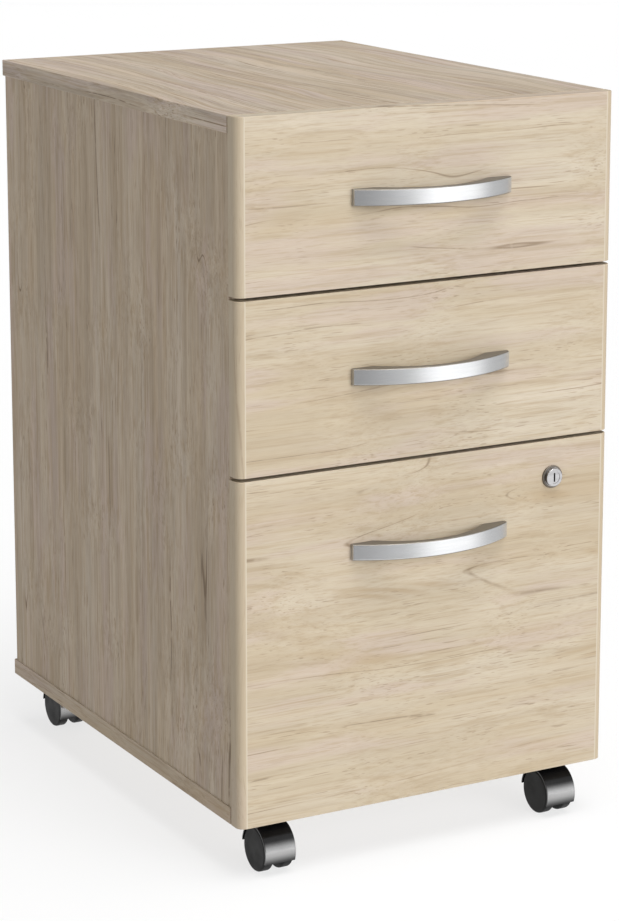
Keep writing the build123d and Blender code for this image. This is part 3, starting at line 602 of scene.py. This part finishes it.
def seated_screws(node, body, head_side, seat, pitch):
    """Pan-head screws in place of a CAD node's plain ones.

    head_side is the direction from the shank to the head, and seat where the head sits on that axis.
    """
    axis = next(i for i in range(3) if head_side[i])
    across = [i for i in range(3) if i != axis]
    joined = bmesh.new()
    for turn, solid in enumerate(islands(node)):
        ends = sorted((point[axis] for point in solid), key=lambda value: value * head_side[axis])
        tip, top = ends[0], ends[-1]
        reaches = [(min(p[i] for p in solid), max(p[i] for p in solid)) for i in range(3)]
        middle = Vector([(low + high) / 2 for low, high in reaches])
        middle[axis] = seat

        def radius(points):
            return max(math.hypot(*(point[i] - middle[i] for i in across)) for point in points)

        shank = radius([point for point in solid if abs(point[axis] - tip) < TOUCH])
        sizes = (radius(solid), abs(top - seat), shank, abs(seat - tip), pitch)
        screw = pan_screw_mesh(f"{node}_blank", *sizes)
        spin = Matrix.Rotation(math.radians(RECESS_TURN * turn), 4, "Z")
        upright = head_side.to_track_quat("Z", "Y").to_matrix().to_4x4()
        screw.transform(Matrix.Translation(middle) @ upright @ spin)
        joined.from_mesh(screw)
        bpy.data.meshes.remove(screw)
    data = bpy.data.meshes.new(f"{node}_pan_head")
    joined.to_mesh(data)
    joined.free()
    data.materials.append(MATERIALS["zinc_steel"])
    data.shade_smooth()
    data.set_sharp_from_angle(angle=math.radians(SMOOTH_TO))
    piece = bpy.data.objects.new(f"{node}_pan_head", data)
    bpy.context.scene.collection.objects.link(piece)
    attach(piece, body)
    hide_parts(node)


REARWARD = Vector((0, 1, 0))
DOWNWARD = Vector((0, 0, -1))

for drawer in ("upper", "middle", "file"):
    front_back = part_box(f"{drawer}_drawer_front")[1].y
    pull_screws = f"{drawer}_pull_screws"
    seated_screws(pull_screws, f"{drawer}_drawer", REARWARD, front_back, PULL_SCREW_PITCH)
raceway_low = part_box("caster_plates")[0].z
seated_screws("caster_screws", "root", DOWNWARD, raceway_low, CASTER_SCREW_PITCH)
cam_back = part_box("lock_cam")[1].y
seated_screws("cam_screw", "lock_barrel", REARWARD, cam_back, CAM_SCREW_PITCH)


# ---------------------------------------------------------------- studio


def stage_mesh(name, corners, material, faces=((0, 1, 2, 3),)):
    data = bpy.data.meshes.new(name)
    data.from_pydata(corners, [], faces)
    data.materials.append(material)
    item = bpy.data.objects.new(name, data)
    bpy.context.scene.collection.objects.link(item)
    return item


def floor():
    tree = Tree("studio_floor", Specular_IOR_Level=0.2, Emission_Strength=FLOOR_GLOW)
    tree.shader.inputs["Emission Color"].default_value = (1, 1, 1, 1)
    cloud = tree.noise(tree.stretch(tree.place(), (1.5, 1.5, 1.5)), detail=2.0)
    tones = [(FLOOR_TONE + lift, FLOOR_TONE + lift, FLOOR_TONE + lift, 1) for lift in (-0.01, 0.01)]
    colour = tree.mix(cloud, *tones)
    reach = FLOOR_RADIUS
    corners = [(-reach, -reach, 0), (reach, -reach, 0), (reach, reach, 0), (-reach, reach, 0)]
    stage_mesh("floor", corners, tree.finish(colour, tree.remap(cloud, 0.3, 0.7, 0.75, 0.85)))


def outward(azimuth, elevation=0):
    """Unit direction from the object, where azimuth 0 is in front and 90 to its right."""
    a, e = math.radians(azimuth), math.radians(elevation)
    return Vector((math.sin(a) * math.cos(e), -math.cos(a) * math.cos(e), math.sin(e)))


def reflection_screen():
    """A curved glowing screen in front of the object, which only shiny surfaces see."""
    tree = Tree("reflection_screen")
    tree.shader.inputs["Base Color"].default_value = (0, 0, 0, 1)
    tree.shader.inputs["Emission Color"].default_value = (1, 1, 1, 1)
    split = tree.add("SeparateXYZ", {0: tree.place()}).outputs
    turn = tree.math("ARCTAN2", split["X"], tree.math("MULTIPLY", split["Y"], -1.0))
    first, last = SCREEN_LEVELS[0][0], SCREEN_LEVELS[-1][0]
    glow = None
    for (start, level), (end, next_level) in zip(SCREEN_LEVELS, SCREEN_LEVELS[1:]):
        rise = tree.remap(turn, math.radians(start), math.radians(end), 0.0, next_level - level)
        glow = tree.math("ADD", glow or level, rise)
    tree.tree.links.new(glow, tree.shader.inputs["Emission Strength"])
    edges = [first + (last - first) * pane / SCREEN_PANES for pane in range(SCREEN_PANES + 1)]
    rim = [outward(azimuth) * SCREEN_DISTANCE for azimuth in edges]
    corners = [(p.x, p.y, z) for p in rim for z in (0, SCREEN_TOP)]
    faces = [(2 * i, 2 * i + 1, 2 * i + 3, 2 * i + 2) for i in range(len(rim) - 1)]
    item = stage_mesh("reflection_screen", corners, tree.material, faces)
    item.visible_camera = False
    item.visible_diffuse = False
    item.visible_shadow = False
    item.visible_transmission = False


def soft_sun(name, azimuth, elevation, spread, strength):
    """A wide distant light, as even as a large softbox a long way off."""
    data = bpy.data.lights.new(name, "SUN")
    data.angle = math.radians(spread)
    data.energy = strength
    light = bpy.data.objects.new(name, data)
    bpy.context.scene.collection.objects.link(light)
    away = outward(azimuth, elevation)
    light.location = away * 4
    light.rotation_mode = "QUATERNION"
    light.rotation_quaternion = away.to_track_quat("Z", "Y")


def world():
    """White at the horizon and dimmer overhead, so that the backdrop is pale and the fill soft."""
    sky = bpy.data.worlds.new("studio")
    sky.use_nodes = True
    nodes, links = sky.node_tree.nodes, sky.node_tree.links
    height = nodes.new("ShaderNodeSeparateXYZ")
    links.new(nodes.new("ShaderNodeTexCoord").outputs["Generated"], height.inputs[0])
    ramp = nodes.new("ShaderNodeValToRGB")
    low = SKY_LEVELS[0][0]
    span = SKY_LEVELS[-1][0] - low
    rescale = nodes.new("ShaderNodeMapRange")
    rescale.inputs[1].default_value = low
    rescale.inputs[2].default_value = low + span
    links.new(height.outputs["Z"], rescale.inputs[0])
    links.new(rescale.outputs[0], ramp.inputs[0])
    stops = ramp.color_ramp.elements
    while len(stops) < len(SKY_LEVELS):
        stops.new(0.5)
    for stop, (level, white) in zip(stops, SKY_LEVELS):
        stop.position = (level - low) / span
        stop.color = (white, white, white, 1)
    links.new(ramp.outputs[0], nodes["Background"].inputs["Color"])
    bpy.context.scene.world = sky


def camera():
    data = bpy.data.cameras.new("camera")
    data.sensor_width = SENSOR
    data.lens = CAMERA_LENS
    data.shift_y = CAMERA_SHIFT
    data.clip_end = CAMERA_REACH
    item = bpy.data.objects.new("camera", data)
    bpy.context.scene.collection.objects.link(item)
    yaw, pitch = math.radians(CAMERA_YAW), math.radians(CAMERA_PITCH)
    forward = Vector((math.sin(yaw) * math.cos(pitch), math.cos(yaw) * math.cos(pitch), -math.sin(pitch)))
    item.location = CAMERA_PLACE
    item.rotation_mode = "QUATERNION"
    item.rotation_quaternion = forward.to_track_quat("-Z", "Y")
    bpy.context.scene.camera = item


floor()
world()
soft_sun("front_light", *FRONT_LIGHT)
soft_sun("top_light", *TOP_LIGHT)
reflection_screen()
camera()

bpy.context.scene.view_settings.view_transform = "Standard"
bpy.context.scene.view_settings.look = "None"
